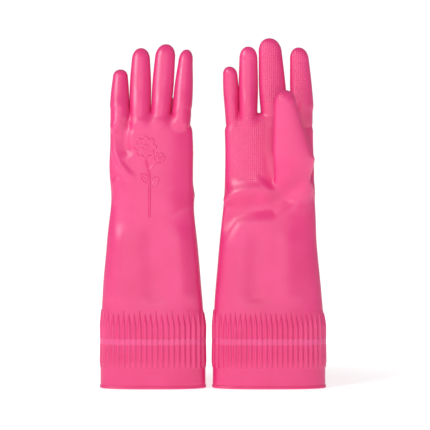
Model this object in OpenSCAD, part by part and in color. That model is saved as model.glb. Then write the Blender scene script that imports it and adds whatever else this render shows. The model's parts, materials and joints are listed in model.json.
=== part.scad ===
// A pair of long household rubber gloves that stand upright on their open cuffs.
// X runs across the pair, Z runs along the fingers, and the origin is on the floor
// below the middle of the pair. The right glove turns its palm to -Y, the left one to +Y.

/* [Rubber] */
// Thickness of the rubber wall
wall = 0.7; // [0.5:0.1:1]
// Width of the gap at each line where a glove bends
bend_gap = 0.3; // [0.2:0.1:0.5]

/* [Pair] */
// Gap between the two cuffs
cuff_gap = 4.4; // [2:0.2:30]
// Width of the left and the right cuff
cuff_w = [119.6, 128.4]; // [110:0.2:140]
// Width of the left and the right hand at the knuckles
knuckle_w = [90, 98.6]; // [88:0.2:104]

/* [Cuff] */
// Height of the rolled bead at the mouth
bead_h = 3.3; // [2.5:0.1:5]
// How far the bead stands out from the hem
bead_out = 0.8; // [0.4:0.1:1.5]
// Height at which the hem ends and the ribs start
rib_low = 22; // [16:1:28]
// Height at which the ribs end
rib_high = 86; // [76:1:96]
// Height of the lower edge of the band
band_low = 48; // [40:1:50]
// Height of the upper edge of the band
band_high = 55; // [52:1:58]
// Number of ribs across one face of the left and the right cuff
rib_count = [20, 23]; // [12:1:28]
// How far a rib stands out
rib_out = 0.9; // [0.4:0.1:1.4]
// Depth of the cuff from palm side to back side
cuff_d = 42; // [34:1:50]

/* [Wrist and hand] */
// Height at which the sleeve ends and the wrist starts
wrist_low = 180; // [176:1:184]
// Height at which the wrist ends and the hand starts
wrist_high = 200; // [196:1:203]
// Depth of the wrist
wrist_d = 34; // [30:1:38]
// Height of the line where the fingers start
knuckle_z = 310; // [306:1:312]
// Depth of the hand at the knuckles
knuckle_d = 22; // [20:1:24]

/* [Fingers] */
// Height of the tips on the left glove, from the little to the index finger
left_tip_z = [352.3, 376.2, 380.6, 374.5]; // [350:0.1:390]
// Height of the tips on the right glove, from the little to the index finger
right_tip_z = [354.6, 376.7, 385.6, 375.6]; // [350:0.1:390]
// Depth of a finger at its base and at its tip
finger_d = [19, 14]; // [12:0.5:20]
// How far the fingertips lean to the palm side
finger_lean = 4; // [0:0.5:6]
// Place of a finger's middle bend, as a share of its length
middle_bend = 0.37; // [0.33:0.01:0.45]
// Place of a finger's upper bend, as a share of its length
upper_bend = 0.69; // [0.6:0.01:0.72]

/* [Thumb] */
// Height at which the thumb leaves its root
thumb_z = 258; // [254:1:262]
// Height of the bend of the thumb
thumb_bend_z = 294; // [288:1:300]
// Height of the tip of the thumb
thumb_tip_z = 329.6; // [322:0.2:336]
// Width of the thumb at its base and at its tip
thumb_w = [37, 24]; // [22:0.5:38]
// Depth of the thumb at its base and at its tip
thumb_d = [21, 18]; // [16:0.5:22]
// How far the middle of the thumb lies in front of the hand, at its base and at its tip
thumb_out = [29.6, 42]; // [28:0.2:48]

/* [Hidden] */
LEFT = 0;
RIGHT = 1;
SIDES = ["left", "right"];
FINGERS = ["little", "ring", "middle", "index"];
PIECES = ["base", "middle", "tip"];
CUFF_PARTS = ["bead", "hem", "lower_ribs", "band", "upper_ribs", "sleeve"];
HAND_PARTS = ["wrist", "palm", "thumb_root", "thumb_base", "thumb_tip"];
FINGER_PARTS = [for (f = FINGERS) for (p = PIECES) str(f, "_", p)];

PINK = [0.96, 0.27, 0.53];
LIGHT_PINK = [0.99, 0.42, 0.62];

half_gap = bend_gap / 2;
pair_w = cuff_w[LEFT] + cuff_gap + cuff_w[RIGHT];
glove_x = [cuff_w[LEFT] / 2 - pair_w / 2, pair_w / 2 - cuff_w[RIGHT] / 2];
ribs_d = cuff_d + 1;

// The exponent that squares the section: a soft rectangle at the cuff, an ellipse at the wrist.
CUFF_SQUARE = 2.7;
HAND_SQUARE = 2.3;
SLEEVE_SIDES = 40;
FINGER_SIDES = 16;
FINE_STEP = 14;

// Half width of the glove at some heights, as shares of the cuff's or the knuckles' half width,
// and the sideways place of the section's middle: [height, half width, middle, depth].
function outline(g) = [
    [0, 0.972 * cuff_w[g] / 2, 0, cuff_d - 1.5],
    [rib_low, 0.972 * cuff_w[g] / 2, 0, cuff_d - 1],
    [rib_low + 8, cuff_w[g] / 2 - rib_out, 0, ribs_d - 2 * rib_out],
    [rib_high, 0.942 * cuff_w[g] / 2, -0.6, cuff_d - 1],
    [124, 0.892 * cuff_w[g] / 2, -1, cuff_d - 3],
    [170, 0.824 * cuff_w[g] / 2, -0.9, wrist_d + 3],
    [190, (g == LEFT ? 1.034 : 1.055) * knuckle_w[g] / 2, g == LEFT ? -1.1 : 0, wrist_d],
    [209, (g == LEFT ? 0.997 : 1.014) * knuckle_w[g] / 2, g == LEFT ? -0.6 : 0.5, wrist_d - 1],
    [230, (g == LEFT ? 1.024 : 1) * knuckle_w[g] / 2, g == LEFT ? -1.6 : 0.5, wrist_d - 2],
    [248, (g == LEFT ? 1.034 : 1) * knuckle_w[g] / 2, g == LEFT ? -2.2 : 0.5, wrist_d - 4],
    [266, (g == LEFT ? 1.02 : 0.986) * knuckle_w[g] / 2, g == LEFT ? -1.4 : 0.2, knuckle_d + 6],
    [knuckle_z, knuckle_w[g] / 2, g == LEFT ? -2.6 : -0.6, knuckle_d],
];
function at(table, column, z) = lookup(z, [for (row = table) [row[0], row[column]]]);

// Sideways places of the finger middles at the knuckles and at the tips, and their base widths,
// as shares of the knuckle width, and the width of each tip below its round end.
FINGER_X = [[-0.412, -0.154, 0.117, 0.363], [-0.416, -0.225, 0.045, 0.368]];
FINGER_TIP_X = [[-0.407, -0.148, 0.160, 0.412], [-0.444, -0.230, 0.006, 0.332]];
FINGER_W = [[0.222, 0.249, 0.253, 0.204], [0.180, 0.182, 0.294, 0.254]];
TIP_W = [[16.5, 20, 22.5, 15.5], [16, 18, 24, 20.5]];
// The round end of a finger takes up this share of its length.
TIP_DOME = 0.22;
THUMB_DOME = 14;
// Sideways place of the thumb's middle at its base and at its tip.
THUMB_X = [22.5, 17.5];
DOME_STEPS = [0, 28, 52, 72];

function signed_pow(v, p) = sign(v) * pow(abs(v), p);
function section(mid, half, square, sides, z) = [
    for (i = [0:sides - 1]) let (t = 360 * i / sides) [
        mid[0] + half[0] * signed_pow(cos(t), 2 / square),
        mid[1] + half[1] * signed_pow(sin(t), 2 / square),
        z
    ]
];

// The section's exponent falls evenly from the top of the ribs to the wrist.
function square_at(z) = lookup(z, [[rib_high, CUFF_SQUARE], [wrist_low, HAND_SQUARE]]);
// A ring of the glove's tube at height z, drawn in by inset.
function tube_ring(g, z, inset) = let (o = outline(g)) section(
    [at(o, 2, z), 0], [at(o, 1, z) - inset, at(o, 3, z) / 2 - inset], square_at(z), SLEEVE_SIDES, z);
function heights(low, high, step) = let (n = max(1, round((high - low) / step)))
    [for (i = [0:n]) low + (high - low) * i / n];

// A finger is [base x, tip x, base width, tip width, base depth, tip depth, base y, tip y,
// base height, tip height, dome height].
function finger_of(g, f) = let (tip_z = (g == LEFT ? left_tip_z : right_tip_z)[f]) [
    FINGER_X[g][f] * knuckle_w[g], FINGER_TIP_X[g][f] * knuckle_w[g],
    FINGER_W[g][f] * knuckle_w[g], TIP_W[g][f],
    finger_d[0], finger_d[1], 0, -finger_lean,
    knuckle_z, tip_z, TIP_DOME * (tip_z - knuckle_z)
];
function thumb_of(g) = [
    THUMB_X[0], THUMB_X[1], thumb_w[0], thumb_w[1], thumb_d[0], thumb_d[1],
    -thumb_out[0], -thumb_out[1], thumb_z, thumb_tip_z, THUMB_DOME
];
function along(s, z) = (z - s[8]) / (s[9] - s[10] - s[8]);
function mix(a, b, t) = a + (b - a) * t;
function stall_ring(s, z, inset, shrink = 1) = let (t = along(s, z)) section(
    [mix(s[0], s[1], t), mix(s[6], s[7], t)],
    [(mix(s[2], s[3], t) / 2 - inset) * shrink, (mix(s[4], s[5], t) / 2 - inset) * shrink],
    2.1, FINGER_SIDES, z);
// The rings of the round end, and the point on top of them.
function dome_rings(s, inset) = [
    for (a = DOME_STEPS) let (z = s[9] - s[10]) [
        for (p = stall_ring(s, z, inset, cos(a))) [p[0], p[1], z + (s[10] - inset) * sin(a)]
    ]
];
function dome_top(s, inset) = [s[1], s[7], s[9] - inset];

// Faces of a tube's wall between rings of n points, as triangles that face outwards.
function wall_faces(rings, n, first, flip) = [
    for (k = [0:rings - 2]) for (i = [0:n - 1]) let (
        a = first + k * n + i, b = first + k * n + (i + 1) % n, c = a + n, d = b + n
    ) each flip ? [[a, b, d], [a, d, c]] : [[a, c, d], [a, d, b]]
];
function ring_faces(outer, inner, n, flip) = [
    for (i = [0:n - 1]) let (
        a = outer + i, b = outer + (i + 1) % n, c = inner + i, d = inner + (i + 1) % n
    ) each flip ? [[a, d, b], [a, c, d]] : [[a, b, d], [a, d, c]]
];
function fan_faces(ring, top, n, flip) = [
    for (i = [0:n - 1]) let (a = ring + i, b = ring + (i + 1) % n) flip ? [a, b, top] : [b, a, top]
];
function flat(rings) = [for (r = rings) each r];

// A hollow tube that is open at both ends.
module open_shell(outer, inner) {
    n = len(outer[0]);
    rings = len(outer);
    q = n * rings;
    polyhedron(
        points = concat(flat(outer), flat(inner)),
        faces = concat(
            wall_faces(rings, n, 0, false), wall_faces(rings, n, q, true),
            ring_faces(0, q, n, false), ring_faces(q - n, 2 * q - n, n, true)));
}

// A hollow tube that is closed at the top by a round end.
module closed_shell(outer, outer_top, inner, inner_top) {
    n = len(outer[0]);
    rings = len(outer);
    q = n * rings;
    polyhedron(
        points = concat(flat(outer), flat(inner), [outer_top, inner_top]),
        faces = concat(
            wall_faces(rings, n, 0, false), wall_faces(rings, n, q, true),
            ring_faces(0, q, n, false),
            fan_faces(q - n, 2 * q, n, false), fan_faces(2 * q - n, 2 * q + 1, n, true)));
}

// A filled tube, for cutting and for the outside of the palm.
module filled(rings) {
    n = len(rings[0]);
    count = len(rings);
    polyhedron(
        points = flat(rings),
        faces = concat(
            wall_faces(count, n, 0, false),
            [[for (i = [0:n - 1]) i]], [[for (i = [n - 1:-1:0]) n * (count - 1) + i]]));
}

// A stretch of the glove's tube.
module tube(g, low, high, out = 0) {
    open_shell(
        [for (z = heights(low, high, FINE_STEP)) tube_ring(g, z, -out)],
        [for (z = heights(low, high, FINE_STEP)) tube_ring(g, z, wall)]);
}

// The rolled bead at the mouth: a round edge on a flat foot.
module bead(g) {
    open_shell(
        [
            tube_ring(g, 0, 0.3), tube_ring(g, bead_h * 0.25, -bead_out),
            tube_ring(g, bead_h * 0.75, -bead_out), tube_ring(g, bead_h, 0)
        ],
        [for (t = [0, 0.25, 0.75, 1]) tube_ring(g, bead_h * t, wall + bead_out)]);
}

// A ring of ribs: the points lie at even places across each face, in and out by turns.
function rib_ring(g, z, inset, relief) = let (
    o = outline(g), a = at(o, 1, z) - inset, b = at(o, 3, z) / 2 - inset, mid = at(o, 2, z),
    n = 2 * rib_count[g], face = [for (i = [0:n - 1]) -1 + 2 * (i + 0.5) / n]
) [
    for (side = [-1, 1]) for (i = [0:n - 1]) let (
        x = side * -face[i], out = i % 2 == 0 ? 0 : relief,
        y = side * pow(max(0, 1 - pow(abs(x), CUFF_SQUARE)), 1 / CUFF_SQUARE)
    ) [mid + x * (a + out), y * (b + out), z]
];
// The ribs stop at a straight line below and run out to nothing above.
module ribs(g, low, high, runs_out) {
    zs = runs_out ? [low, high - 14, high] : [low, mix(low, high, 0.5), high];
    relief = [rib_out, rib_out, runs_out ? 0.05 : rib_out];
    open_shell(
        [for (k = [0:2]) rib_ring(g, zs[k], 0, relief[k])],
        [for (k = [0:2]) rib_ring(g, zs[k], wall, 0)]);
}

module stall_base(s, low, high) {
    zs = heights(low, high, FINE_STEP);
    open_shell([for (z = zs) stall_ring(s, z, 0)], [for (z = zs) stall_ring(s, z, wall)]);
}
module stall_tip(s, low) {
    z = low + half_gap;
    closed_shell(
        concat([stall_ring(s, z, 0)], dome_rings(s, 0)), dome_top(s, 0),
        concat([stall_ring(s, z, wall)], dome_rings(s, wall)), dome_top(s, wall));
}

// The piece of a finger: 0 next to the palm, 1 in the middle, 2 at the tip.
BENDS = [middle_bend, upper_bend];
function finger_bend(s, k) = s[8] + BENDS[k] * (s[9] - s[8]);
module finger_piece(g, f, piece) {
    s = finger_of(g, f);
    low = piece == 0 ? s[8] : finger_bend(s, piece - 1);
    if (piece == 2) stall_tip(s, low);
    else stall_base(s, low + half_gap, finger_bend(s, piece) - half_gap);
}

// The root of the thumb swells out of the palm side of the hand.
ROOT_LOW = 206;
// Each row: share of the height, x and y of the middle, half width, half depth.
ROOT_ROWS = [
    [0, 14, -9, 10, 4], [0.23, 17, -14, 13.5, 8],
    [0.5, 19.5, -21.5, 15.5, 10], [0.77, 21.3, -26.5, 17.3, 10.5],
    [1, THUMB_X[0], -thumb_out[0], thumb_w[0] / 2, thumb_d[0] / 2]
];
function root_ring(row, inset) = section(
    [row[1], row[2]], [row[3] - inset, row[4] - inset], 2.1, FINGER_SIDES,
    mix(ROOT_LOW, thumb_z - half_gap, row[0]));
module root_solid(inset) {
    filled([for (row = ROOT_ROWS) root_ring(row, inset)]);
}
// The inside of the root goes on upwards through its open end.
module root_hollow() {
    top = root_ring(ROOT_ROWS[len(ROOT_ROWS) - 1], wall);
    filled(concat(
        [for (row = ROOT_ROWS) root_ring(row, wall)], [[for (p = top) [p[0], p[1], thumb_z + 1]]]));
}
module hand_solid(g, low, high, inset) {
    filled([for (z = heights(low, high, FINE_STEP)) tube_ring(g, z, inset)]);
}

// The hand from the wrist to the knuckles, with the mouths of the fingers and of the thumb.
module palm(g) {
    top = knuckle_z - half_gap;
    difference() {
        hand_solid(g, wrist_high + half_gap, top, 0);
        hand_solid(g, wrist_high - 1, top - wall, wall);
        for (f = [0:3]) {
            mouth = stall_ring(finger_of(g, f), knuckle_z, wall);
            translate([0, 0, top - 2 * wall]) linear_extrude(3 * wall)
                polygon([for (p = mouth) [p[0], p[1]]]);
        }
        root_hollow();
    }
}
module thumb_root(g) {
    difference() {
        root_solid(0);
        root_hollow();
        hand_solid(g, wrist_high - 1, knuckle_z, 0);
    }
}

// One piece of one glove, in the glove's own frame with the palm side at -Y.
module piece(g, name) {
    if (name == "bead") color(PINK) bead(g);
    if (name == "hem") color(PINK) tube(g, bead_h, rib_low);
    if (name == "lower_ribs") color(PINK) ribs(g, rib_low, band_low, false);
    if (name == "band") color(LIGHT_PINK) tube(g, band_low, band_high, rib_out);
    if (name == "upper_ribs") color(PINK) ribs(g, band_high, rib_high, true);
    if (name == "sleeve") color(PINK) tube(g, rib_high, wrist_low - half_gap);
    if (name == "wrist") color(PINK) tube(g, wrist_low + half_gap, wrist_high - half_gap);
    if (name == "palm") color(PINK) palm(g);
    if (name == "thumb_root") color(PINK) thumb_root(g);
    if (name == "thumb_base")
        color(PINK) stall_base(thumb_of(g), thumb_z + half_gap, thumb_bend_z - half_gap);
    if (name == "thumb_tip") color(PINK) stall_tip(thumb_of(g), thumb_bend_z);
    for (f = [0:3]) for (k = [0:2])
        if (name == str(FINGERS[f], "_", PIECES[k])) color(PINK) finger_piece(g, f, k);
}
// The left glove is turned palm backwards, by a mirror image in Y.
module placed(g, name) {
    translate([glove_x[g], 0, 0]) mirror([0, g == LEFT ? 1 : 0, 0]) piece(g, name);
}

for (g = [LEFT, RIGHT]) for (p = concat(CUFF_PARTS, HAND_PARTS, FINGER_PARTS))
    placed(g, p);
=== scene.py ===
import json
import math

import bpy
import numpy as np
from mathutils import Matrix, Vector


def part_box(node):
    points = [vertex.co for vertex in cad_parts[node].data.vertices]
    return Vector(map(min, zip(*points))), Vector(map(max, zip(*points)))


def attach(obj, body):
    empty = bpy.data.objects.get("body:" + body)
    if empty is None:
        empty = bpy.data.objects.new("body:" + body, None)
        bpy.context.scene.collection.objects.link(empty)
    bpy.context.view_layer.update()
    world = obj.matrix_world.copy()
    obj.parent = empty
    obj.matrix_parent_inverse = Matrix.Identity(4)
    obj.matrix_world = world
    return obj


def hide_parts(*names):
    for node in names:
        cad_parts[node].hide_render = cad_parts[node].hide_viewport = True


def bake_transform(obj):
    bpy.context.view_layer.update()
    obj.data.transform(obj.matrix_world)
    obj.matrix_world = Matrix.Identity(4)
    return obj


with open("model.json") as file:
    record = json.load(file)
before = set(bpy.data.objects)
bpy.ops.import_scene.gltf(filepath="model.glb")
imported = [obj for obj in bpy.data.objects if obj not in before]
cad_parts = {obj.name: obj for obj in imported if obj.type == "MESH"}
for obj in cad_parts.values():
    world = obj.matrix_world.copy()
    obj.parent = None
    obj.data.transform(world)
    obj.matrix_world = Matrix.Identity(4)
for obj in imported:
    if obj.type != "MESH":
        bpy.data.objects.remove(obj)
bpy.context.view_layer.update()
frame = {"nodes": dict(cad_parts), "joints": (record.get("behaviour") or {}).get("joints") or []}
NODES = frame["nodes"]

# Lengths are in millimetres in a glove's own frame (u across, v with the palm at -v, z up)
# until a mesh is made. The left glove is the mirror image in v.
MM = 0.001
SIDES = {"left": -1.0, "right": 1.0}
FINGERS = ["little", "ring", "middle", "index"]
# The lattice of the hand's mesh: its step, how many steps a rough cell has, and a value far from the skin.
STEP = 0.525
COARSE = 4
FAR = 50.0
# Points round the cuff and the sleeve, and the thickness of their wall.
RING = 960
WALL = 0.7
# The exponents that square the section at the cuff and at the wrist.
CUFF_SQUARE, HAND_SQUARE = 2.7, 2.3
# The hand's mesh starts at this height, and the sleeve's rings run 3 mm past it.
FINE_FROM = 158.0
# The heights where the skin of the wrist ends and where the heel's ends.
WRIST_TOP, HEEL_TOP = 190.0, 216.0
# The hand's rounded end: where it closes, and how tall the rounding is.
HAND_TOP, HAND_CAP = 304.0, 22.0
# The tube's tables end at this height.
TUBE_TOP = 311.0
# The thumb's own skin starts at this height; its round end starts and closes lower than the CAD's.
THUMB_CUT = 258.0
THUMB_LOWER, THUMB_SHORTER = 4.0, 4.3
GRIP_PITCH = 2.1
# Strengths of the lights, in watts, and of the room.
KEY, FRONT, ROOM = 24.0, 10.0, 0.34

# The grip is a lattice of low dots on the palm and on these fingers.
GRIP_HEIGHT = 0.38
GRIP_FINGERS = ["middle", "index"]
# How far a finger's base lies towards the palm side, from the little to the index finger.
FINGER_SHIFT = {"left": [-1.0, 0.4, 0.6, 0.0], "right": [-2.0, 2.6, 0.6, 0.0]}
# How a finger leans sideways and swells, at its base and at its end: two shifts, two widths.
FINGER_SHAPE = {
    "left": [(0, 0, 0.6, 0.1), (-0.5, -0.3, 1.0, 0.2), (-1.6, -1.3, 0.1, 0.1), (-0.4, -1.3, 1.6, 0.3)],
    "right": [(0, 0.9, -0.5, 0), (-0.8, -0.3, 1.2, 1.2), (0.9, 0.7, 0.5, 0.8), (0.4, 0.7, 0.0, 0.2)],
}
# How much lower the hand ends between the little and the ring finger.
LITTLE_DIP = {"left": 7.0, "right": 2.5}
# Folds of the skin: side, height, half width, and the points (u, z) they run through.
FOLDS = {
    "right": [
        ("front", 4.2, 9.0, [(-66, 198), (-38, 214), (-14, 219), (12, 214)]),
        ("front", -5.6, 10.0, [
            (-78, 156), (-60, 174), (-40, 192), (-16, 197), (2, 199), (20, 212), (38, 230), (52, 246)]),
        ("front", 0.8, 3.8, [(-20, 237), (-8, 226), (3, 216), (13, 209)]),
        ("front", -0.8, 6.0, [(-3, 262), (0, 240), (6, 216)]),
        ("front", -3.0, 15.0, [(-16, 84), (-14, 130), (-10, 184)]),
        ("front", 2.0, 14.0, [(20, 84), (20, 178)]),
        ("back", 0.9, 8.0, [(-40, 200), (0, 206), (40, 198)]),
        ("back", -1.2, 15.0, [(6, 90), (4, 176)]),
    ],
    "left": [
        ("back", 2.6, 5.2, [(-46, 296), (-45, 281), (-43, 262), (-37, 247), (-28, 236), (-16, 228)]),
        ("back", -2.4, 5.4, [(-30, 300), (-30, 284), (-30, 268), (-26, 252)]),
        ("back", 0.9, 13.0, [(-46, 232), (-32, 204)]),
        ("back", 1.0, 15.0, [(12, 216), (30, 188)]),
        ("back", 1.6, 12.0, [(-40, 84), (-36, 184)]),
        ("back", -2.8, 15.0, [(2, 84), (2, 130), (0, 190)]),
        ("back", 2.4, 13.0, [(36, 84), (32, 184)]),
        ("front", 2.4, 8.0, [(-56, 202), (-38, 213), (-14, 217), (10, 212)]),
        ("front", -3.4, 8.0, [(-60, 176), (-40, 192), (-14, 196), (4, 200), (24, 214), (46, 240)]),
        ("front", -1.2, 15.0, [(-6, 90), (-4, 178)]),
    ],
}
# The middle of the open flower (u, z).
FLOWER_AT = (-8.0, 265.0)


def smooth(low, high, x):
    t = np.clip((x - low) / (high - low), 0.0, 1.0)
    return t * t * (3.0 - 2.0 * t)


def smin(a, b, k):
    h = np.clip(0.5 + 0.5 * (b - a) / k, 0.0, 1.0)
    return b + (a - b) * h - k * h * (1.0 - h)


def smoothed(column, spread, **pad):
    """A column of evenly spaced values, blurred; pad says how it goes on past its ends."""
    reach = 3 * spread
    kernel = np.exp(-0.5 * (np.arange(-reach, reach + 1) / spread) ** 2)
    kernel /= kernel.sum()
    return np.convolve(np.pad(column, reach, **pad), kernel, "valid")


def rounded(n, *terms):
    """Distance from a rounded solid; each term is a share of the way to its side, and the way's length."""
    r = sum(share ** n for share, _ in terms) ** (1.0 / n)
    g = np.sqrt(sum((share ** (n - 1) / size) ** 2 for share, size in terms))
    return (r - 1.0) / (g * r ** (1.0 - n) + 1e-9)


# ---- what the CAD says ----

def middle_x(side):
    lo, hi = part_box(f"{side}_bead")
    return (lo.x + hi.x) / 2 / MM


def cad_points(side, part):
    o = NODES[f"{side}_{part}"]
    co = np.zeros(len(o.data.vertices) * 3)
    o.data.vertices.foreach_get("co", co)
    co = co.reshape(-1, 3) / MM
    return np.stack([co[:, 0] - middle_x(side), SIDES[side] * co[:, 1], co[:, 2]], 1)


def ring(points, z):
    """The outer ring of a tube at height z: z, middle u, middle v, half width, half depth."""
    near = points[np.abs(points[:, 2] - z) < 0.03]
    lo, hi = near.min(0), near.max(0)
    return [z, (lo[0] + hi[0]) / 2, (lo[1] + hi[1]) / 2, (hi[0] - lo[0]) / 2, (hi[1] - lo[1]) / 2]


def tube_rings(side, part):
    p = cad_points(side, part)
    low, high = p[:, 2].min(), p[:, 2].max()
    n = max(1, round((high - low) / 14))
    return [ring(p, low + (high - low) * i / n) for i in range(n + 1)]


def stall(side, low_part, tip_part):
    """A finger or thumb: its ring at the base, its ring below the round end, and its top."""
    base = cad_points(side, low_part)
    tip = cad_points(side, tip_part)
    levels = np.unique(np.round(tip[:, 2], 2))
    return {
        "low": ring(base, base[:, 2].min()),
        "high": ring(tip, levels[1]),
        "top": tip[:, 2].max(),
    }


class Glove:
    def __init__(self, side):
        self.side, self.sign, self.x = side, SIDES[side], middle_x(side)
        rows = np.array(sum([tube_rings(side, p) for p in ("sleeve", "wrist", "palm")], []))
        rows = rows[np.argsort(rows[:, 0])]
        z = np.arange(80.0, 312.0, 1.0)
        cols = [np.interp(z, rows[:, 0], rows[:, k]) for k in (1, 3, 4)]
        self.z = z
        self.mid, self.half_w, self.half_d = [
            smoothed(c, 6, mode="reflect", reflect_type="odd") for c in cols]
        self.fingers = [stall(side, f + "_base", f + "_tip") for f in FINGERS]
        self.thumb = stall(side, "thumb_base", "thumb_tip")
        self.root_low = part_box(f"{side}_thumb_root")[0].z / MM
        self.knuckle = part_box(f"{side}_palm")[1].z / MM + 0.15
        self.thumb_rows = self.thumb_outline()

    def at(self, z):
        return (np.interp(z, self.z, self.mid), np.interp(z, self.z, self.half_w),
                np.interp(z, self.z, self.half_d))

    def square(self, z):
        return np.interp(z, [86.0, 180.0], [CUFF_SQUARE, HAND_SQUARE])

    def body(self, u, v, z):
        mid, a, b = self.at(z)
        n = self.square(z)
        dip = (self.fingers[0]["low"][1] + self.fingers[1]["low"][1]) / 2
        top = HAND_TOP - LITTLE_DIP[self.side] * np.exp(-((u - dip) / 6.0) ** 2)
        zt = np.clip((z - (top - HAND_CAP)) / HAND_CAP, 0.0, None)
        ax, ay = np.abs(u - mid) / a + 1e-6, np.abs(v) / b + 1e-6
        return rounded(n, (ax, a), (ay, b), (zt, HAND_CAP))

    def finger(self, f, u, v, z):
        s = self.fingers[f]
        z0, z1, top = s["low"][0], s["high"][0], s["top"]
        t = (z - z0) / (z1 - z0)
        tc = np.clip(t, -1.6, 1.3)
        full = np.clip(t, 0.0, 1.0)
        cu, cv = [s["low"][k] + (s["high"][k] - s["low"][k]) * tc for k in (1, 2)]
        # A finger keeps its width for longer than a straight taper, and is fullest in the middle.
        shift_low, shift_high, wide_low, wide_high = FINGER_SHAPE[self.side][f]
        cu = cu + shift_low + (shift_high - shift_low) * full
        a = s["low"][3] + (s["high"][3] - s["low"][3]) * full ** 1.35 + 0.45 * np.sin(np.pi * full)
        a = a + wide_low + (wide_high - wide_low) * full
        b = s["low"][4] + (s["high"][4] - s["low"][4]) * full ** 1.2 + 1.4 * smooth(0.45, 0.0, t)
        cv = cv - FINGER_SHIFT[self.side][f] * (1.0 - full)
        # Below its base it stays inside the side of the hand.
        mid, half, _ = self.at(np.minimum(z, TUBE_TOP))
        over = np.clip(np.abs(cu - mid) + a - half + 0.5, 0.0, None) * smooth(0.04, -0.12, t)
        cu = cu - np.sign(cu - mid) * over
        dome = top - z1
        zt = np.clip((z - z1) / dome, 0.0, None)
        ax, ay = np.abs(u - cu) / a + 1e-6, np.abs(v - cv) / b + 1e-6
        d = rounded(2.15, (ax, a), (ay, b), (zt, dome))
        # Below the knuckles a finger sinks into the hand and leaves a soft ridge.
        outer = smooth(0.70, 0.95, np.abs(u - mid) / half)
        sink = smooth(296.0, 258.0, z) * 10.0 * (1.0 - 0.85 * outer)
        return d + sink + 12.0 * smooth(292.0, 258.0, z)

    def thumb_outline(self):
        """The thumb's middle, half width and half depth at each height, smoothed along it."""
        s = self.thumb
        z0, z1 = s["low"][0], s["high"][0] - THUMB_LOWER
        rows = np.array([
            [self.root_low - 8, 20.0, -3.0, 14.0, 4.0],
            [self.root_low + 8, 24.5, -11.0, 20.5, 8.5],
            [self.root_low + 26, 27.0, -18.5, 22.8, 10.5],
            [z0 - 8, s["low"][1] + 4.2, s["low"][2] + 2.6, s["low"][3] + 4.9, s["low"][4] + 0.3],
            [z0, s["low"][1] + 1.9, s["low"][2], s["low"][3] + 2.7, s["low"][4]],
            [z1, s["high"][1] - 2.0, s["high"][2], s["high"][3] - 0.2, s["high"][4]],
        ])
        heights = np.arange(self.root_low - 8, s["top"], 1.0)
        cu, cv, a, b = [
            smoothed(np.interp(heights, rows[:, 0], rows[:, k]), 4, mode="edge") for k in (1, 2, 3, 4)]
        # At its root it stays inside the side of the hand.
        mid, half, _ = self.at(np.minimum(heights, TUBE_TOP))
        edge = mid + half - 0.4 - 2.8 * smooth(257.8, 232.0, heights)
        over = np.clip(cu + a - edge, 0.0, None) * smooth(z0 + 12, z0, heights)
        return heights, (cu - over / 2, cv, a - over / 2, b)

    def thumb_field(self, u, v, z):
        s = self.thumb
        z1, top = s["high"][0] - THUMB_LOWER, s["top"] - THUMB_SHORTER
        heights, columns = self.thumb_rows
        cu, cv, a, b = [np.interp(z, heights, c) for c in columns]
        dome = top - z1
        zt = np.clip((z - z1) / dome, 0.0, None)
        foot = 14.0
        zb = np.clip((self.root_low + 6 - z) / foot, 0.0, None)
        ax, ay = np.abs(u - cu) / a + 1e-6, np.abs(v - cv) / b + 1e-6
        return rounded(2.1, (ax, a), (ay, b), (zt, dome), (zb, foot))

    def field(self, p, only=None):
        """Signed distance to the skin, below zero inside; only is one finger's number, or "thumb"."""
        u, v, z = p[:, 0], p[:, 1], p[:, 2]
        d = self.body(u, v, z)
        near = z > 255.0
        if near.any():
            un, vn, zn, dn = u[near], v[near], z[near], d[near]
            mid, half, _ = self.at(np.minimum(zn, TUBE_TOP))
            side = smooth(0.60, 0.90, np.abs(un - mid) / half)
            k = 0.02 + 6.0 * smooth(309.5, 292.0, zn) * (1.0 - 0.78 * side)
            for f in range(4) if only is None or only == "thumb" else [only]:
                if only != "thumb":
                    dn = smin(dn, self.finger(f, un, vn, zn), k)
            d[near] = dn
        if only is None or only == "thumb":
            near = (z > self.root_low - 20) & (v < 4.0)
            if near.any():
                un, vn, zn, dn = u[near], v[near], z[near], d[near]
                k = 1.4 + 9.0 * smooth(12.0, 34.0, un) + 4.5 * smooth(236.0, 212.0, zn)
                k = 0.02 + k * smooth(257.8, 232.0, zn)
                d[near] = smin(dn, self.thumb_field(un, vn, zn), k)
        return d - self.relief(u, v, z)

    def relief(self, u, v, z):
        """How far the skin stands out from its plain shape: folds, the flower and the grip."""
        b = self.at(np.minimum(z, TUBE_TOP))[2]
        back = smooth(0.25, 0.6, v / b)
        front = smooth(0.25, 0.6, -v / b)
        out = np.zeros_like(u)
        # Soft unevenness of a dipped glove.
        out += 0.22 * np.sin(u * 0.071 + z * 0.043 + 0.7) * np.sin(z * 0.059 - u * 0.031 + self.sign)
        for where, height, width, points in FOLDS[self.side]:
            m = front if where == "front" else back
            out += height * m * stroke(u, z, points, width)
        out += back * flower(u - FLOWER_AT[0], z - FLOWER_AT[1])
        out += self.grip(u, v, z, b)
        return out

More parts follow.
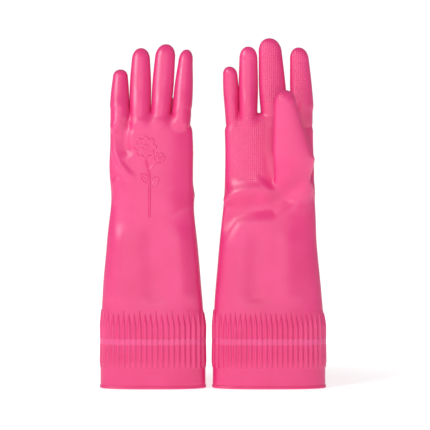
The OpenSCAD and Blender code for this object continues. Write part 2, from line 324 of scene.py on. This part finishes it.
    def grip(self, u, v, z, b):
        """The lattice of dots on the palm and on the gripping fingers."""
        across, along = [0.5 + 0.5 * np.cos(2 * np.pi * w / GRIP_PITCH) for w in (u, z)]
        dots = across * along
        palm = smooth(-43.0, -40.0, u) * smooth(-4.5, -7.5, u)
        palm = palm * smooth(226.0, 229.0, z) * smooth(303.0, 300.0, z)
        palm = palm * smooth(0.0, 4.0, (z - 226.0) - 0.9 * np.abs(u + 24.0) + 9.0)
        palm = palm * smooth(0.3, 0.6, -v / b) * (v > -b - 3.0)
        mask = palm
        for s in (self.fingers[FINGERS.index(name)] for name in GRIP_FINGERS):
            t = np.clip((z - s["low"][0]) / (s["high"][0] - s["low"][0]), -0.5, 1.3)
            cu = s["low"][1] + (s["high"][1] - s["low"][1]) * t
            cv = s["low"][2] + (s["high"][2] - s["low"][2]) * t
            on = smooth(0.86, 0.62, np.abs(u - cu) / s["high"][3]) * smooth(0.5, 3.0, cv - v)
            on = on * smooth(311.0, 316.0, z) * smooth(s["top"] - 2.0, s["top"] - 7.0, z)
            mask = np.maximum(mask, on)
        return GRIP_HEIGHT * dots * mask


def stroke(u, z, points, width):
    """1 on a line through the points, falling off across it and towards its two ends."""
    best = np.zeros_like(u)
    pts = np.array(points, float)
    lengths = np.hypot(*np.diff(pts, axis=0).T)
    total, gone = lengths.sum(), 0.0
    lo, hi = pts.min(0) - 3 * width, pts.max(0) + 3 * width
    near = (u > lo[0]) & (u < hi[0]) & (z > lo[1]) & (z < hi[1])
    if not near.any():
        return best
    un, zn = u[near], z[near]
    value = np.zeros_like(un)
    for (p, q), length in zip(zip(pts[:-1], pts[1:]), lengths):
        t = np.clip(((un - p[0]) * (q[0] - p[0]) + (zn - p[1]) * (q[1] - p[1])) / length ** 2, 0, 1)
        d = np.hypot(un - p[0] - t * (q[0] - p[0]), zn - p[1] - t * (q[1] - p[1]))
        s = (gone + t * length) / total
        here = np.exp(-(d / width) ** 2) * smooth(0.0, 0.22, s) * smooth(1.0, 0.78, s)
        value = np.maximum(value, here)
        gone += length
    best[near] = value
    return best


def line(d, width=0.62):
    return np.exp(-(d / width) ** 2)


def bloom(x, y, radius, petals):
    """An open flower in outline: round petals about a ringed middle."""
    r, t = np.hypot(x, y), np.arctan2(y, x)
    edge = radius * (0.70 + 0.30 * np.abs(np.cos(petals * t / 2)) ** 0.7)
    rim = line(r - edge)
    spokes = line(r * np.sin((t - np.pi / petals) % (2 * np.pi / petals) - np.pi / petals), 0.5)
    spokes = spokes * smooth(radius * 0.28, radius * 0.36, r) * smooth(radius * 0.76, radius * 0.66, r)
    heart = line(r - radius * 0.24)
    fill = 0.28 * smooth(edge, edge - 1.5, r)
    return np.maximum.reduce([rim, 0.7 * spokes, heart, fill])


def leaf(x, y, turn, length, width):
    c, s = math.cos(turn), math.sin(turn)
    along, across = x * c + y * s, -x * s + y * c
    t = np.clip(along / length, 0.0, 1.0)
    edge = width * np.sin(np.pi * t) ** 0.8
    inside = (along > 0) & (along < length)
    rim = np.where(inside, line(np.abs(across) - edge), 0.0)
    vein = np.where(inside, 0.6 * line(across, 0.45), 0.0)
    return np.maximum(rim, vein)


def flower(x, y):
    """A plain embossed flower on a long stem with two leaves and a smaller bloom."""
    out = np.zeros_like(x)
    near = (np.abs(x) < 24) & (y > -82) & (y < 15)
    if not near.any():
        return out
    xn, yn = x[near], y[near]
    value = bloom(xn, yn, 12.0, 8)
    value = np.maximum(value, bloom(xn - 15.5, yn + 12.0, 6.0, 6))
    stem_x = 4.6 * smooth(-10.0, -34.0, yn)
    stem = line(np.abs(xn - stem_x) - 0.9, 0.5) * smooth(-79.0, -76.0, yn) * smooth(-12.5, -14.0, yn)
    value = np.maximum(value, stem)
    value = np.maximum(value, leaf(xn - 4.0, yn + 40.0, math.radians(128), 14.0, 3.4))
    value = np.maximum(value, leaf(xn - 4.6, yn + 44.0, math.radians(48), 15.0, 3.6))
    value = np.maximum(value, 0.8 * stroke(xn, yn, [(4.0, -26.0), (9.0, -20.0), (15.0, -17.0)], 0.8))
    out[near] = 0.55 * value
    return out


# ---- turning a field into a mesh ----

def evaluate(field, pts):
    return np.concatenate([field(pts[i:i + 400000]) for i in range(0, len(pts), 400000)])


def gradient(field, p, value, e=0.1):
    g = np.empty_like(p)
    for k in range(3):
        q = p.copy()
        q[:, k] += e
        g[:, k] = (field(q) - value) / e
    return g


def net(field, low, high):
    """Surface nets on a lattice that every mesh of the glove shares. Vertices, quads and normals."""
    block = STEP * COARSE
    lo = np.floor(np.array(low) / block).astype(int) * COARSE
    hi = np.ceil(np.array(high) / block).astype(int) * COARSE
    cells = hi - lo
    axes = [(np.arange(c + 1) + l) * STEP for c, l in zip(cells, lo)]
    coarse = [a[::COARSE] for a in axes]
    grid = np.stack(np.meshgrid(*coarse, indexing="ij"), -1)
    shape = grid.shape[:3]
    rough = evaluate(field, grid.reshape(-1, 3)).reshape(shape)
    least = np.full([s - 1 for s in shape], 1e9)
    for i in (0, 1):
        for j in (0, 1):
            for k in (0, 1):
                part = rough[i:shape[0] - 1 + i, j:shape[1] - 1 + j, k:shape[2] - 1 + k]
                least = np.minimum(least, np.abs(part))
    active = least < block * 1.15
    mask = np.zeros([c + 1 for c in cells], bool)
    fine = active.repeat(COARSE, 0).repeat(COARSE, 1).repeat(COARSE, 2)
    for i in (0, 1):
        for j in (0, 1):
            for k in (0, 1):
                mask[i:i + cells[0], j:j + cells[1], k:k + cells[2]] |= fine
    sign = (rough[:-1, :-1, :-1] < 0).repeat(COARSE, 0).repeat(COARSE, 1).repeat(COARSE, 2)
    value = np.full(mask.shape, FAR, np.float32)
    value[:cells[0], :cells[1], :cells[2]] = np.where(sign, -FAR, FAR)
    idx = np.argwhere(mask)
    pts = (idx + lo) * STEP
    value[mask] = evaluate(field, pts)
    inside = value < 0

    count = np.zeros(cells, np.int8)
    for i in (0, 1):
        for j in (0, 1):
            for k in (0, 1):
                count += inside[i:i + cells[0], j:j + cells[1], k:k + cells[2]]
    crossing = (count > 0) & (count < 8)
    c = np.argwhere(crossing)
    number = np.full(cells, -1, np.int32)
    number[crossing] = np.arange(len(c))
    total, hits = np.zeros((len(c), 3)), np.zeros(len(c))
    corners = [np.array([i, j, k]) for i in (0, 1) for j in (0, 1) for k in (0, 1)]
    for axis in range(3):
        for start in corners:
            if start[axis]:
                continue
            end = start.copy()
            end[axis] = 1
            va = value[tuple((c + start).T)].astype(float)
            vb = value[tuple((c + end).T)].astype(float)
            cut = (va < 0) != (vb < 0)
            t = np.where(cut, va / np.where(cut, va - vb, 1.0), 0.0)
            point = c + start + t[:, None] * (end - start)
            total += np.where(cut[:, None], point, 0.0)
            hits += cut
    verts = (total / hits[:, None] + lo) * STEP

    quads = []
    for axis in range(3):
        b, d = (axis + 1) % 3, (axis + 2) % 3
        first = [slice(None)] * 3
        second = [slice(None)] * 3
        first[axis], second[axis] = slice(0, -1), slice(1, None)
        s0, s1 = inside[tuple(first)], inside[tuple(second)]
        edge = np.argwhere(s0 != s1)
        ok = (edge[:, b] > 0) & (edge[:, d] > 0) & (edge[:, b] < cells[b]) & (edge[:, d] < cells[d])
        edge = edge[ok]
        inner = s0[tuple(edge.T)]
        corner = []
        for db, dd in ((1, 1), (0, 1), (0, 0), (1, 0)):
            at = edge.copy()
            at[:, b] -= db
            at[:, d] -= dd
            corner.append(number[tuple(at.T)])
        q = np.stack(corner, 1)
        q[~inner] = q[~inner][:, ::-1]
        quads.append(q)
    quads = np.concatenate(quads)
    quads = quads[(quads >= 0).all(1)]
    f = field(verts)
    g = gradient(field, verts, f)
    move = f / np.maximum((g * g).sum(1), 0.2)
    verts = verts - np.clip(move, -STEP, STEP)[:, None] * g
    f = field(verts)
    g = gradient(field, verts, f)
    # The last small step goes straight along the new normal.
    move = f / np.maximum((g * g).sum(1), 0.2)
    verts = verts - np.clip(move, -STEP / 2, STEP / 2)[:, None] * g
    return verts, quads, g / np.maximum(np.linalg.norm(g, axis=1), 1e-9)[:, None]


def piece(glove, name, verts, faces, normals, slot="glove_rubber"):
    """An object of the faces given, in the row frame in metres."""
    used, faces = np.unique(faces, return_inverse=True)
    faces = faces.reshape(-1, 4)
    verts, normals = verts[used], normals[used]
    co = np.stack([verts[:, 0] + glove.x, glove.sign * verts[:, 1], verts[:, 2]], 1) * MM
    no = normals * [1, glove.sign, 1]
    if glove.sign < 0:
        faces = faces[:, ::-1]
    mesh = bpy.data.meshes.new(f"{glove.side}_{name}_skin")
    mesh.vertices.add(len(co))
    mesh.loops.add(faces.size)
    mesh.polygons.add(len(faces))
    mesh.vertices.foreach_set("co", co.astype(np.float32).ravel())
    mesh.loops.foreach_set("vertex_index", faces.astype(np.int32).ravel())
    mesh.polygons.foreach_set("loop_start", np.arange(0, faces.size, 4, dtype=np.int32))
    mesh.update(calc_edges=True)
    mesh.validate()
    mesh.polygons.foreach_set("use_smooth", np.ones(len(mesh.polygons), bool))
    if len(mesh.vertices) == len(no):
        mesh.normals_split_custom_set_from_vertices(no.tolist())
    mesh.materials.append(MATERIALS[slot])
    o = bpy.data.objects.new(f"{glove.side}_{name}_skin", mesh)
    bpy.context.scene.collection.objects.link(o)
    return o


# ---- materials ----

def rubber(name, deep, pale, rough, grain):
    m = bpy.data.materials.new(name)
    m.use_nodes = True
    nt = m.node_tree
    b = nt.nodes["Principled BSDF"]
    b.inputs["Specular IOR Level"].default_value = 0.85
    b.inputs["Sheen Weight"].default_value = 0.08
    b.inputs["Sheen Roughness"].default_value = 0.45
    b.inputs["Sheen Tint"].default_value = (1.0, 0.55, 0.72, 1.0)
    where = nt.nodes.new("ShaderNodeTexCoord")

    def noise(scale, detail, roughness=0.5):
        n = nt.nodes.new("ShaderNodeTexNoise")
        n.inputs["Scale"].default_value = scale
        n.inputs["Detail"].default_value = detail
        n.inputs["Roughness"].default_value = roughness
        nt.links.new(where.outputs["Object"], n.inputs["Vector"])
        return n.outputs["Fac"]

    def spread(value, low, high):
        r = nt.nodes.new("ShaderNodeMapRange")
        r.inputs["From Min"].default_value = 0.3
        r.inputs["From Max"].default_value = 0.7
        r.inputs["To Min"].default_value = low
        r.inputs["To Max"].default_value = high
        nt.links.new(value, r.inputs["Value"])
        return r.outputs["Result"]

    mix = nt.nodes.new("ShaderNodeMix")
    mix.data_type = "RGBA"
    mix.inputs["A"].default_value = (*deep, 1.0)
    mix.inputs["B"].default_value = (*pale, 1.0)
    nt.links.new(spread(noise(34.0, 3.0), 0.0, 1.0), mix.inputs["Factor"])
    nt.links.new(mix.outputs["Result"], b.inputs["Base Color"])
    nt.links.new(spread(noise(60.0, 4.0), rough - 0.05, rough + 0.06), b.inputs["Roughness"])
    bump = nt.nodes.new("ShaderNodeBump")
    bump.inputs["Strength"].default_value = grain
    bump.inputs["Distance"].default_value = 0.00012
    nt.links.new(noise(1400.0, 2.0, 0.6), bump.inputs["Height"])
    nt.links.new(bump.outputs["Normal"], b.inputs["Normal"])
    return m


MATERIALS = {
    "glove_rubber": rubber("glove_rubber", (0.73, 0.022, 0.172), (0.77, 0.031, 0.200), 0.36, 0.35),
    "band_rubber": rubber("band_rubber", (0.75, 0.044, 0.212), (0.79, 0.056, 0.240), 0.38, 0.35),
}


# ---- the cuff and the sleeve: rings of points about the tube ----

def ring_points(glove, z, out, t):
    """Points on the tube's section at height z, moved out by out."""
    mid, a, b = glove.at(z) if z >= 86 else glove.cuff(z)
    n = glove.square(z)
    c, s = np.cos(t), np.sin(t)
    x = a * np.sign(c) * np.abs(c) ** (2 / n)
    y = b * np.sign(s) * np.abs(s) ** (2 / n)
    gx = np.sign(c) * np.abs(c) ** (2 - 2 / n) / a
    gy = np.sign(s) * np.abs(s) ** (2 - 2 / n) / b
    g = np.hypot(gx, gy) + 1e-9
    return np.stack([mid + x + out * gx / g, y + out * gy / g, np.full_like(t, z)], 1)


def even_angles(glove, z):
    """Angles that lie at even places along the section, and each one's share of the way round."""
    t = np.linspace(0, 2 * np.pi, 6001)
    p = ring_points(glove, z, 0.0, t)
    way = np.concatenate([[0], np.cumsum(np.linalg.norm(np.diff(p, axis=0), axis=1))])
    share = np.arange(RING) / RING
    return np.interp(share * way[-1], way, t), share, way[-1]


def grid_piece(glove, name, heights, out, slot="glove_rubber"):
    """A tube with a wall: out(z, share) is how far the skin stands out from the plain section."""
    outer, inner = [], []
    for z in heights:
        t, share, _ = even_angles(glove, z)
        stands_out = out(z, share)
        outer.append(ring_points(glove, z, stands_out, t))
        inner.append(ring_points(glove, z, np.minimum(stands_out, 0.0) - WALL, t))
    outer, inner = np.array(outer), np.array(inner)
    return sheet_piece(glove, name, [outer, inner], slot)


def sheet_piece(glove, name, layers, slot):
    verts, faces, base = [], [], 0
    for layer, flip in zip(layers, (False, True)):
        m, n = layer.shape[:2]
        k, i = np.meshgrid(np.arange(m - 1), np.arange(n), indexing="ij")
        a = base + k * n + i
        b = base + k * n + (i + 1) % n
        q = np.stack([a, b, b + n, a + n], -1).reshape(-1, 4)
        faces.append(q[:, ::-1] if flip else q)
        verts.append(layer.reshape(-1, 3))
        base += m * n
    n = layers[0].shape[1]
    i = np.arange(n)
    j = (i + 1) % n
    count = layers[0].shape[0] * n
    foot = np.stack([i, count + i, count + j, j], 1)
    last = count - n
    head = np.stack([last + i, last + j, count + last + j, count + last + i], 1)
    verts = np.concatenate(verts)
    faces = np.concatenate(faces + [foot, head])
    tri = verts[faces]
    no = np.cross(tri[:, 2] - tri[:, 0], tri[:, 3] - tri[:, 1])
    # The rims' own faces are sharp, so they don't bend the normals of the skin.
    normals = np.zeros_like(verts)
    for k in range(4):
        np.add.at(normals, faces[: -2 * n, k], no[: -2 * n])
    normals /= np.maximum(np.linalg.norm(normals, axis=1), 1e-9)[:, None]
    return piece(glove, name, verts, faces, normals, slot)


def cuff_section(glove):
    """The plain section under the ribs, from the hem and the foot of the sleeve."""
    hem, sleeve = tube_rings(glove.side, "hem"), tube_rings(glove.side, "sleeve")
    low, high = hem[-1], sleeve[0]
    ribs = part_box(f"{glove.side}_lower_ribs")
    widest = (ribs[1].x - ribs[0].x) / 2 / MM - 0.5
    full = low[4] + 0.3
    rows = np.array([
        [0.0] + hem[0][1:], low, [low[0] + 5, low[1], low[2], (2 * widest + low[3]) / 3, full],
        [low[0] + 12, low[1], low[2], widest, full], [low[0] + 28, low[1], low[2], widest - 0.3, full],
        [low[0] + 46, low[1], low[2], (widest + 2 * high[3]) / 3 + 0.8, full], high])
    return lambda z: [np.interp(z, rows[:, 0], rows[:, k]) for k in (1, 3, 4)]


def cuff(glove):
    side = glove.side
    glove.cuff = cuff_section(glove)
    box = lambda part: [c.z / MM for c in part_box(f"{side}_{part}")]
    bead_top, hem_top = box("bead")[1], box("hem")[1]
    band_low, band_high = box("band")
    rib_high = box("upper_ribs")[1]
    _, _, way = even_angles(glove, 60.0)
    pitch = {"left": 5.98, "right": 5.58}[side]
    count = int(round(way / pitch))
    skin = f"{side}_sleeve"

    def rib(z, share):
        """A row of round ribs with narrow grooves between, that close to a point at the top."""
        x = (share * count) % 1.0
        x = np.abs(x - 0.5) * 2
        run_out = smooth(rib_high - 18.0, rib_high - 0.5, z)
        width = 0.92 * (1.0 - run_out) + 0.001
        crest = np.where(x < width, 0.5 + 0.5 * np.cos(np.pi * np.minimum(x / width, 1.0)), 0.0)
        swell = 0.45 + 0.55 * smooth(hem_top, hem_top + 9.0, z)
        return 1.6 * swell * (1.0 - 0.45 * run_out) * crest ** 0.85

    def lower(z, share):
        return rib(z, share) * smooth(hem_top - 0.1, hem_top + 0.9, z)

    def band(z, share):
        edge = smooth(band_low - 0.2, band_low + 0.7, z) * smooth(band_high + 0.2, band_high - 0.7, z)
        return rib(z, share) * (1 - 0.45 * edge) + edge * 0.62

    def bead(z, share):
        """Two rolled turns of rubber at the mouth."""
        t = np.clip(z / bead_top, 0.0, 1.0)
        low = np.sqrt(np.clip(1 - ((t - 0.30) / 0.32) ** 2, 0.0, 1.0))
        high = 0.75 * np.sqrt(np.clip(1 - ((t - 0.78) / 0.22) ** 2, 0.0, 1.0))
        return np.full_like(share, np.maximum(low, high) * 0.95 - 0.12)

    def hem(z, share):
        return np.full_like(share, 0.10 * np.exp(-((z - bead_top - 3.2) / 1.1) ** 2))

    # Rings lie closer together where the ribs start and where they run out.
    lower_heights = np.concatenate([
        np.linspace(hem_top, hem_top + 1.2, 5), np.linspace(hem_top + 2.4, band_low, 14)])
    upper_heights = np.concatenate([
        np.linspace(band_high, rib_high - 20, 8), np.linspace(rib_high - 19, rib_high, 26)])
    parts = [
        ("bead", np.linspace(0.0, bead_top, 20), bead, "glove_rubber"),
        ("hem", np.linspace(bead_top, hem_top, 20), hem, "glove_rubber"),
        ("lower_ribs", lower_heights, lower, "glove_rubber"),
        ("band", np.linspace(band_low, band_high, 17), band, "band_rubber"),
        ("upper_ribs", upper_heights, rib, "glove_rubber"),
    ]
    for name, heights, out, slot in parts:
        o = grid_piece(glove, name, heights, out, slot)
        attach(o, skin)
        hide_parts(f"{side}_{name}")
    o = grid_piece(glove, "sleeve", np.linspace(rib_high, FINE_FROM + 3.0, 50),
                   lambda z, share: sleeve_out(glove, z), "glove_rubber")
    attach(o, skin)
    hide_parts(skin)


def sleeve_out(glove, z):
    """The sleeve's soft unevenness, the same as the field's, so that the two meet."""
    t, _, _ = even_angles(glove, z)
    p = ring_points(glove, z, 0.0, t)
    out = glove.relief(p[:, 0], p[:, 1], p[:, 2])
    for _ in range(3):
        out = out - glove.field(ring_points(glove, z, out, t))
    start = smooth(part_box(f"{glove.side}_upper_ribs")[1].z / MM, 100.0, z)
    return out * start - 0.06 * smooth(FINE_FROM + 0.5, FINE_FROM + 2.5, z)


# ---- the hand ----

def joint_z(name):
    return next(j for j in frame["joints"] if j["name"] == name)["pos_m"][2] / MM


def place(glove, z, u=0.0, v=0.0):
    return ((u + glove.x) * MM, glove.sign * v * MM, z * MM)


def bend_piece(glove, name, verts, faces, normals, a, low, high, nodes):
    o = piece(glove, name, verts, faces, normals)
    s = glove.side
    place(glove, low)
    place(glove, high)
    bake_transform(o)
    if nodes:
        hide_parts(*[f"{s}_{n}" for n in nodes])


def hand(glove):
    s = glove.side
    knuckle = glove.knuckle
    v0, q0, n0 = net(glove.field, (-62.0, -56, FINE_FROM - 3), (62.0, 26, knuckle + 4))
    centre = v0[q0].mean(1)
    front = n0[q0].mean(1)[:, 1] < 0
    z = centre[:, 2]
    in_thumb = thumb_faces(glove, centre)
    parts = {
        "wrist": (z >= FINE_FROM) & (z < WRIST_TOP) & ~in_thumb,
        "heel": (z >= WRIST_TOP) & (z < HEEL_TOP) & ~in_thumb,
        "hand_front": (z >= HEEL_TOP) & (z < knuckle) & front & ~in_thumb,
        "hand_back": (z >= HEEL_TOP) & (z < knuckle) & ~front & ~in_thumb,
    }
    bend_piece(glove, "wrist", v0, q0[parts["wrist"]], n0,
               "sleeve", WRIST_TOP - 22.0, WRIST_TOP, ["wrist"])
    bend_piece(glove, "heel", v0, q0[parts["heel"]], n0,
               "wrist", WRIST_TOP, HEEL_TOP - 4.0, [])
    for name, nodes in (("hand_front", ["palm", "thumb_root"]), ("hand_back", [])):
        o = piece(glove, name, v0, q0[parts[name]], n0)
        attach(o, f"{s}_hand")
        if nodes:
            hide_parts(*[f"{s}_{n}" for n in nodes])
    for f, finger in enumerate(FINGERS):
        finger_pieces(glove, f, finger)
    thumb_pieces(glove)


def finger_pieces(glove, f, finger):
    s, base = glove.side, glove.fingers[f]
    knuckle, top = glove.knuckle, base["top"]
    bend, tip_bend = joint_z(f"{s}_{finger}_bend"), joint_z(f"{s}_{finger}_tip_bend")
    short = finger == "little"
    reach, tip_reach = (5.0, 4.5) if short else (7.5, 6.0)
    end = knuckle + (8.0 if short else 14.0)
    cu0, cu1 = base["low"][1], base["high"][1]
    wide = max(base["low"][3], base["high"][3]) + 4.0
    low = (min(cu0, cu1) - wide, -18.0, knuckle - 3.0)
    high = (max(cu0, cu1) + wide, 15.0, top + 2.0)
    v, q, n = net(lambda p: glove.field(p, f), low, high)
    c = v[q].mean(1)
    t = (c[:, 2] - base["low"][0]) / (base["high"][0] - base["low"][0])
    own = np.abs(c[:, 0] - (cu0 + (cu1 - cu0) * t)) < wide - 1.0
    first = (end + bend - reach) / 2
    second = (bend + reach + tip_bend - tip_reach) / 2
    z = c[:, 2]
    # Each piece: its name, the body below it, two heights about its joint, and its faces.
    cuts = [
        ("base", "hand", knuckle, end, (z >= knuckle) & (z < first)),
        ("middle", f"{finger}_base", bend - reach, bend + reach, (z >= first) & (z < second)),
        ("tip", f"{finger}_middle", tip_bend - tip_reach, tip_bend + tip_reach, z >= second),
    ]
    for part, below, start, stop, mask in cuts:
        name = f"{finger}_{part}"
        bend_piece(glove, name, v, q[mask & own], n, below, start, stop, [name])


def thumb_faces(glove, c):
    """The thumb's faces from THUMB_CUT up: those in front of the gap between it and the hand."""
    s = glove.thumb
    back = s["low"][2] + s["low"][4]
    gap = back + 3.0 - 0.28 * (c[:, 2] - THUMB_CUT)
    return (c[:, 2] >= THUMB_CUT) & (c[:, 1] < gap) & (np.abs(c[:, 0] - s["low"][1] - 1.9) < 24.0)


def thumb_pieces(glove):
    s, t = glove.side, glove.thumb
    bend = joint_z(f"{s}_thumb_bend")
    low, high = (-4.0, -56.0, THUMB_CUT - 3.0), (54.0, -4.0, t["top"] + 2.0)
    v, q, n = net(lambda p: glove.field(p, "thumb"), low, high)
    c = v[q].mean(1)
    mine = thumb_faces(glove, c)
    middle = (THUMB_CUT + 18.0 + bend - 8.0) / 2
    bend_piece(glove, "thumb_base", v, q[mine & (c[:, 2] < middle)], n,
               "hand", THUMB_CUT, THUMB_CUT + 15.0, ["thumb_base"])
    bend_piece(glove, "thumb_tip", v, q[mine & (c[:, 2] >= middle)], n,
               "thumb_base", bend - 8.0, bend + 8.0, ["thumb_tip"])


# ---- the stage, the camera and the lights ----

def stage():
    m = bpy.data.materials.new("stage_white")
    m.use_nodes = True
    b = m.node_tree.nodes["Principled BSDF"]
    b.inputs["Base Color"].default_value = (0.95, 0.95, 0.95, 1)
    b.inputs["Roughness"].default_value = 0.9
    b.inputs["Specular IOR Level"].default_value = 0.0
    # The floor glows by itself: painted light, weaker close to the gloves and stronger further out, so
    # shadows on the floor fade away from the gloves.
    b.inputs["Emission Color"].default_value = (1, 1, 1, 1)
    where = m.node_tree.nodes.new("ShaderNodeTexCoord")
    far = m.node_tree.nodes.new("ShaderNodeVectorMath")
    far.operation = "LENGTH"
    glow = m.node_tree.nodes.new("ShaderNodeMapRange")
    glow.interpolation_type = "SMOOTHSTEP"
    for key, number in (("From Min", 0.16), ("From Max", 0.42), ("To Min", 0.58), ("To Max", 0.76)):
        glow.inputs[key].default_value = number
    m.node_tree.links.new(where.outputs["Object"], far.inputs[0])
    m.node_tree.links.new(far.outputs["Value"], glow.inputs["Value"])
    m.node_tree.links.new(glow.outputs["Result"], b.inputs["Emission Strength"])
    wide, under = 30.0, -0.0004
    verts = [(-wide, -wide, under), (wide, -wide, under), (wide, wide, under), (-wide, wide, under)]
    mesh = bpy.data.meshes.new("floor")
    mesh.from_pydata(verts, [], [(0, 1, 2, 3)])
    mesh.materials.append(m)
    o = bpy.data.objects.new("floor", mesh)
    bpy.context.scene.collection.objects.link(o)


def area(name, at, look, size, energy):
    data = bpy.data.lights.new(name, "AREA")
    data.shape, data.size, data.size_y = "RECTANGLE", size[0], size[1]
    data.energy = energy
    o = bpy.data.objects.new(name, data)
    o.location = at
    way = np.array(look, float) - np.array(at, float)
    o.rotation_euler = Vector(way).to_track_quat("-Z", "Y").to_euler()
    bpy.context.scene.collection.objects.link(o)


def lights():
    """A white studio: a large soft light from the upper left, a weak fill, and dim surroundings."""
    world = bpy.data.worlds.new("studio")
    world.use_nodes = True
    nt = world.node_tree
    room = nt.nodes["Background"]
    room.inputs["Color"].default_value = (1.0, 0.985, 0.985, 1)
    room.inputs["Strength"].default_value = ROOM
    white = nt.nodes.new("ShaderNodeBackground")
    white.inputs["Color"].default_value = (1, 1, 1, 1)
    white.inputs["Strength"].default_value = 1.05
    path = nt.nodes.new("ShaderNodeLightPath")
    mix = nt.nodes.new("ShaderNodeMixShader")
    nt.links.new(path.outputs["Is Camera Ray"], mix.inputs["Fac"])
    nt.links.new(room.outputs["Background"], mix.inputs[1])
    nt.links.new(white.outputs["Background"], mix.inputs[2])
    nt.links.new(mix.outputs["Shader"], nt.nodes["World Output"].inputs["Surface"])
    bpy.context.scene.world = world
    area("key", (-1.5, -1.5, 1.35), (0, 0, 0.2), (0.9, 1.1), KEY)
    area("front", (-0.2, -2.6, 0.9), (0, 0, 0.2), (1.6, 1.4), FRONT)
    view = bpy.context.scene.view_settings
    view.view_transform = "Standard"
    view.look = "None"


def camera():
    data = bpy.data.cameras.new("camera")
    o = bpy.data.objects.new("camera", data)
    distance, wide = 1.5, 0.4765
    data.sensor_width = 36.0
    data.lens = 36.0 * distance / wide
    o.location = (0.0022, -distance, 0.1906)
    o.rotation_euler = (math.radians(90), 0, 0)
    bpy.context.scene.collection.objects.link(o)
    bpy.context.scene.camera = o


camera()
lights()
stage()
for side_name in SIDES:
    g = Glove(side_name)
    cuff(g)
    hand(g)
